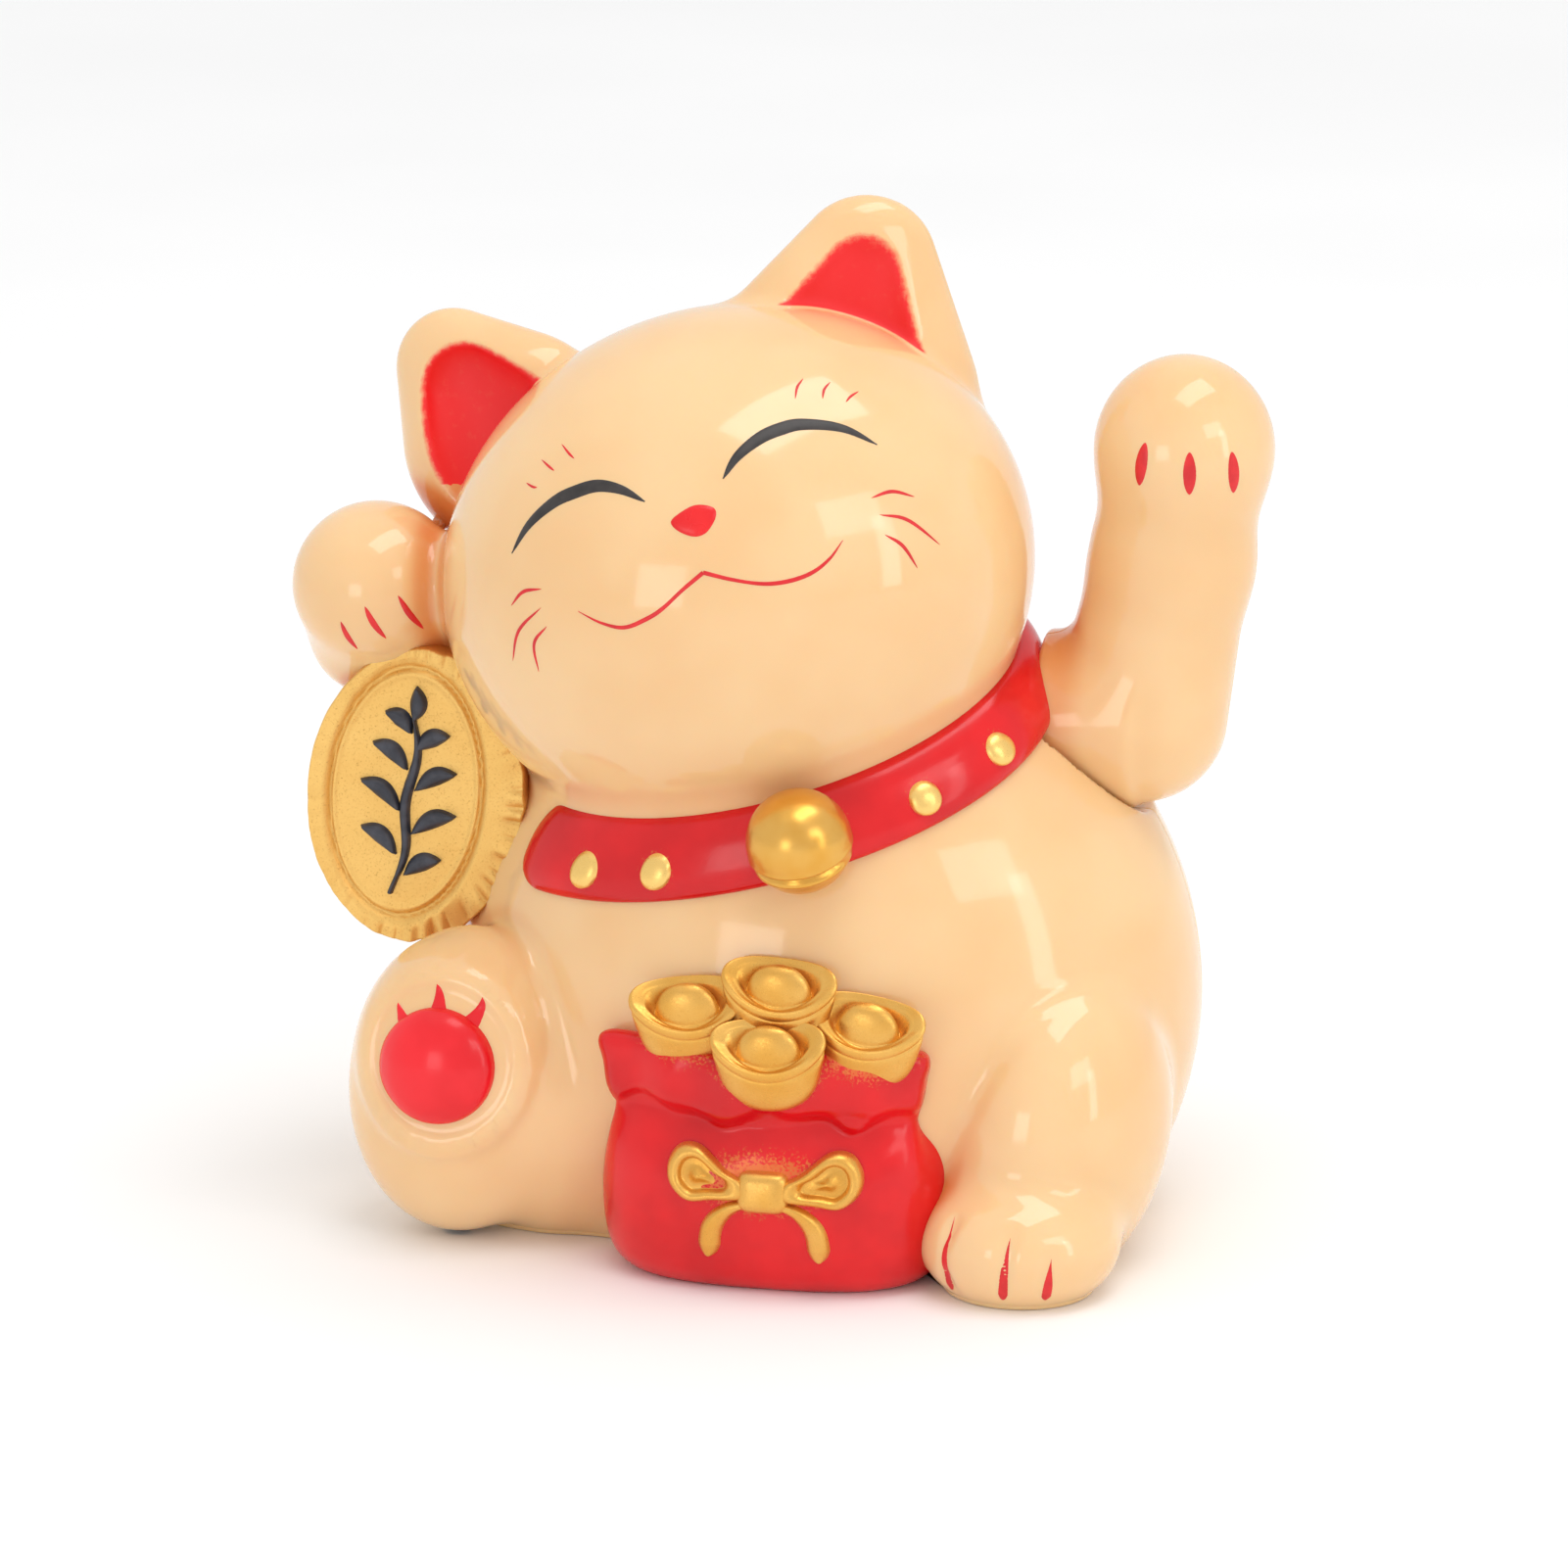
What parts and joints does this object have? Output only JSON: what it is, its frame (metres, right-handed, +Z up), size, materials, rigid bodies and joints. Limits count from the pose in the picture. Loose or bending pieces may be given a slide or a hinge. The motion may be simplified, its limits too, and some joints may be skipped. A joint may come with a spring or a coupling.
{
  "type": "beckoning cat figurine",
  "caption": "Seated smiling cat ornament in moulded plastic with a battery-driven swinging arm, holding an oval coin, with a sack of ingots.",
  "frame": {"origin": "a point on the underside of the base plate, on the middle line between the front edge and the battery door, at floor height", "axes": "+Z up, -Y is the way the cat's body faces, +X is the side of the swinging arm"},
  "size_m": [0.1065, 0.0741, 0.1133],
  "materials": {
    "cream_plastic": "gloss moulded, sprayed details",
    "base_plastic": "fine satin",
    "cell_can": "printed sleeve, no marks",
    "spring_steel": "bright",
    "board": "resin board",
    "bobbin": "satin",
    "copper_wire": "enamelled",
    "component_black": "moulded",
    "capacitor_can": "sleeved",
    "screw_steel": "zinc plated",
    "lead_red": "insulated",
    "lead_black": "insulated",
    "slider_white": "satin",
    "bush_brass": "turned",
    "lever_plastic": "satin",
    "magnet_nickel": "nickel plated"
  },
  "bodies": {
    "case": {"front_shell": "cream_plastic", "rear_shell": "cream_plastic", "base_plate": "base_plastic", "battery_cell": "cell_can", "contact_spring": "spring_steel", "contact_plate": "spring_steel", "drive_board": "board", "coil_bobbin": "bobbin", "coil_winding": "copper_wire", "transistor": "component_black", "capacitor": "capacitor_can", "case_screw_1": "screw_steel", "case_screw_2": "screw_steel", "case_screw_3": "screw_steel", "case_screw_4": "screw_steel", "lead_positive": "lead_red", "lead_negative": "lead_black", "switch_housing": "component_black", "bush_inner": "bush_brass", "bush_outer": "bush_brass"},
    "arm": {"arm_front": "cream_plastic", "arm_rear": "cream_plastic", "arm_shaft": "spring_steel", "pendulum_lever": "lever_plastic", "pendulum_magnet": "magnet_nickel", "counterweight": "spring_steel", "retaining_ring": "spring_steel"},
    "switch": {"switch_slider": "slider_white"},
    "door": {"battery_door": "base_plastic"}
  },
  "joints": [
    {"name": "arm_swing", "type": "hinge", "parent": "case", "child": "arm", "pos_m": [0.0305, 0.0175, 0.0562], "axis": [1, 0, 0], "range_deg": [-20, 20]},
    {"name": "switch_slide", "type": "slide", "parent": "case", "child": "switch", "axis": [1, 0, 0], "range_m": [0, 0.002]},
    {"name": "door_hinge", "type": "hinge", "parent": "case", "child": "door", "pos_m": [-0.0272, 0.0155, 0.00085], "axis": [0, 1, 0], "range_deg": [0, 80]}
  ]
}
